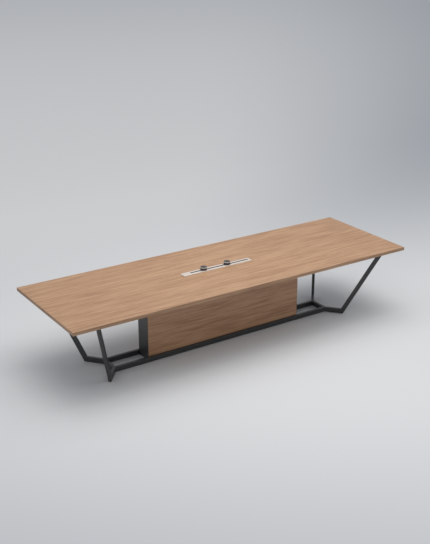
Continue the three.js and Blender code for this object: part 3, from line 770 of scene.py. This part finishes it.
class TABLE_OT_adapters(Operator):
    """Build the turned shells of the two socket adapters"""

    bl_idname = "table.adapters"
    bl_label = "Socket Adapters"

    def execute(self, context):
        settings = context.scene.table_adapters
        plastic = moulded("adapter_plastic", tuple(settings.shell), 0.36)
        face = moulded("socket_plastic", toned(settings.shell, 1.1), 0.42)
        seam = 0.0002
        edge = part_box("left_adapter_trim_ring")[1].z - settings.rim
        rim = (tuple(settings.shell), "Z", edge, edge - seam)
        ring = brushed("ring_metal", tuple(settings.ring), (60, 60, 900), 0.3, 0.28, rim)
        brass = brushed("blade_brass", srgb(206, 172, 92), (500, 30, 500), 1.0, 0.25)
        inner = moulded("stem_plastic", srgb(40, 41, 43), 0.5)
        for side, place in ADAPTER_PLACES.items():
            self.build(side, (place, 0, 0), plastic, ring, settings.steps)
            paint(face, f"{side}_adapter_socket_face")
            paint(inner, f"{side}_adapter_stem")
            paint(brass, f"{side}_adapter_live_blade", f"{side}_adapter_neutral_blade")
        return {"FINISHED"}

    @staticmethod
    def build(side, centre, plastic, ring, steps):
        """One adapter: the sliding skirt with its two keys in the slot, the cup on it, and the hoop round the face.

        Each is a closed profile of radius and height, turned about the adapter's axis. A key is a bar along the slot.
        """
        radius = ADAPTER_RADIUS
        low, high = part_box(f"{side}_adapter_base")
        slide_gap, hole = 0.0003, 0.0058
        under = TRACK_TOP + slide_gap
        section = [(hole, under), (radius, under), (radius, high.z), (hole, high.z)]
        disc = turned(eased(section, [0.0002, 0.0006, 0.0008, 0.0002], 5), centre, steps)
        keys = []
        key_width, key_start, key_end, overlap = 0.0124, hole + 0.004, hole + 0.012, 0.001
        key_top = under + overlap
        bar = rectangle(key_width, key_top - low.z) + [0, (key_top + low.z) / 2]
        for sign in (-1, 1):
            from_x, to_x = sorted(centre[0] + sign * x for x in (key_start, key_end))
            keys.append(drawn_x(eased(bar, 0.0004, 3), from_x, to_x))
        slider = f"{side}_adapter_slider"
        put(f"{side}_skirt", [disc, *keys], plastic, slider, [f"{side}_adapter_base"])

        low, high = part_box(f"{side}_adapter_housing")
        hole, wall, floor = 0.0056, 0.003, 0.003
        section = [
            (hole, low.z), (radius, low.z), (radius, high.z),
            (radius - wall, high.z), (radius - wall, low.z + floor), (hole, low.z + floor),
        ]
        cup = turned(eased(section, [0.0002, 0.0007, 0.0005, 0.0002, 0.0008, 0.0002], 5), centre, steps)
        head = f"{side}_adapter_head"
        put(f"{side}_cup", [cup], plastic, head, [f"{side}_adapter_housing"])

        low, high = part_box(f"{side}_adapter_trim_ring")
        chamfer, width, ledge = 0.0015, 0.006, 0.0025
        face_inset, face_thickness, seat_gap = 0.001, 0.004, 0.0001
        seat = high.z - face_inset - face_thickness - seat_gap
        section = [
            (radius - width - ledge, low.z), (radius, low.z), (radius, high.z - chamfer), (radius - chamfer, high.z),
            (radius - width, high.z), (radius - width, seat), (radius - width - ledge, seat),
        ]
        soft = [0.0002, 0.0005, 0.001, 0.001, 0.0004, 0.0002, 0.0002]
        hoop = turned(eased(section, soft, 5), centre, steps)
        put(f"{side}_hoop", [hoop], ring, head, [f"{side}_adapter_trim_ring"])


class TABLE_OT_stage(Operator):
    """Lay the floor, set the soft light and place the camera"""

    bl_idname = "table.stage"
    bl_label = "Stage"

    def execute(self, context):
        scene = context.scene
        settings = scene.table_stage
        steps = 128
        angle = np.linspace(0, 2 * np.pi, steps, endpoint=False)
        rim = np.stack([FLOOR_REACH * np.cos(angle), FLOOR_REACH * np.sin(angle), np.zeros(steps)], -1)
        mesh = bpy.data.meshes.new("floor")
        mesh.from_pydata(rim.tolist(), [], [list(range(steps))])
        floor = bpy.data.objects.new("floor", mesh)
        scene.collection.objects.link(floor)
        mesh.materials.append(self.floor_paint(tuple(settings.floor)))

        lamp = bpy.data.lights.new("sun", "SUN")
        lamp.energy = settings.sun
        lamp.angle = SUN_SPREAD
        scene.collection.objects.link(bpy.data.objects.new("sun", lamp))
        self.soft_box("overhead", place=(0, 0, 3), size=(4, 2), power=settings.overhead)
        self.soft_box("front", place=(1.5, -3, 6), size=(4, 4), power=settings.front)
        world = bpy.data.worlds.new("room")
        scene.world = world
        g = Graph(world)
        room = g.node("ShaderNodeBackground", None, {"Color": (*ROOM_TINT, 1), "Strength": settings.ambient})
        g.node("ShaderNodeOutputWorld", None, {"Surface": room})

        data = bpy.data.cameras.new("camera")
        data.lens = settings.lens
        data.sensor_width = SENSOR
        data.clip_end = 2 * FLOOR_REACH
        camera = bpy.data.objects.new("camera", data)
        camera.location = settings.camera
        camera.rotation_euler = (math.radians(90) - settings.pitch, 0, -settings.yaw)
        scene.collection.objects.link(camera)
        scene.camera = camera
        scene.view_settings.view_transform = "Standard"
        return {"FINISHED"}

    @staticmethod
    def soft_box(name, place, size, power):
        """A level rectangular lamp that shines down."""
        lamp = bpy.data.lights.new(name, "AREA")
        lamp.shape = "RECTANGLE"
        lamp.size, lamp.size_y = size
        lamp.energy = power
        light = bpy.data.objects.new(name, lamp)
        light.location = place
        bpy.context.scene.collection.objects.link(light)

    @staticmethod
    def floor_paint(colour):
        """Pale matt floor whose tone falls off to the front, with distance, and to the right behind the table: painted
        shade in place of the fall of the studio's light. Far behind the table a little painted light lifts its tone.

        Every fall is a smooth step of the place on the floor. The one to the right widens with distance, and all of
        them end far away, so that the floor closes in one tone.
        """
        g = Graph(bpy.data.materials.new("floor_paint"))
        x, y = g.axis("X"), g.axis("Y")
        reach = g.node("ShaderNodeVectorMath", {"operation": "LENGTH"}, {0: g.place}, output="Value")
        aside = x * 0.833 - y * 0.553
        ahead = x * -0.553 - y * 0.833
        # Painted shade: the floor darkens to the right behind the table, to the front and with distance.
        right = aside.clear(-0.7, reach * 0.6 + 1.6) * y.clear(-0.6, 5.4)
        front = ahead.clear(1.2, 5) * (1 - reach.clear(5, 20))
        far = reach.clear(0, 40)
        fall = (1 - (1 - right * 0.55) * (1 - far * 0.22)) * (1 - reach.clear(32, 88))
        # Painted light: the floor's tone rises a little far behind the table.
        tone = (0.913 + y.clear(2, 5) * 0.089) * (1 - fall) * (1 - front * 0.2)
        # Painted shade also turns bluer as it darkens, as shadow does.
        shade = g.mix((tone - 0.6) * 2.5, toned(colour, (0.565, 0.6, 0.64)), colour)
        return g.finish(base_color=shade, roughness=1.0, specular_ior_level=0.0)


class TABLE_PT_panel(Panel):
    """The table's pieces in the sidebar"""

    bl_label = "Conference Table"
    bl_idname = "TABLE_PT_panel"
    bl_space_type = "VIEW_3D"
    bl_region_type = "UI"
    bl_category = "Table"

    def draw(self, context):
        for operator, group in PIECES:
            box = self.layout.box()
            box.operator(operator.bl_idname)
            if group:
                settings = getattr(context.scene, group)
                for name in settings.__annotations__:
                    box.prop(settings, name)


PIECES = [
    (TABLE_OT_stage, "table_stage"),
    (TABLE_OT_top, "table_top"),
    (TABLE_OT_base, "table_base"),
    (TABLE_OT_column, None),
    (TABLE_OT_track, "table_track"),
    (TABLE_OT_adapters, "table_adapters"),
]
SETTINGS = {
    "table_stage": StageSettings,
    "table_top": TopSettings,
    "table_base": BaseSettings,
    "table_track": TrackSettings,
    "table_adapters": AdapterSettings,
}
CLASSES = [*SETTINGS.values(), *(operator for operator, _ in PIECES), TABLE_PT_panel]


def register():
    for each in CLASSES:
        bpy.utils.register_class(each)
    for name, group in SETTINGS.items():
        setattr(bpy.types.Scene, name, PointerProperty(type=group))


def unregister():
    for name in SETTINGS:
        delattr(bpy.types.Scene, name)
    for each in reversed(CLASSES):
        bpy.utils.unregister_class(each)


def main():
    register()
    bpy.ops.table.stage()
    bpy.ops.table.top()
    bpy.ops.table.base()
    bpy.ops.table.column()
    bpy.ops.table.track()
    bpy.ops.table.adapters()


if __name__ == "__main__":
    main()
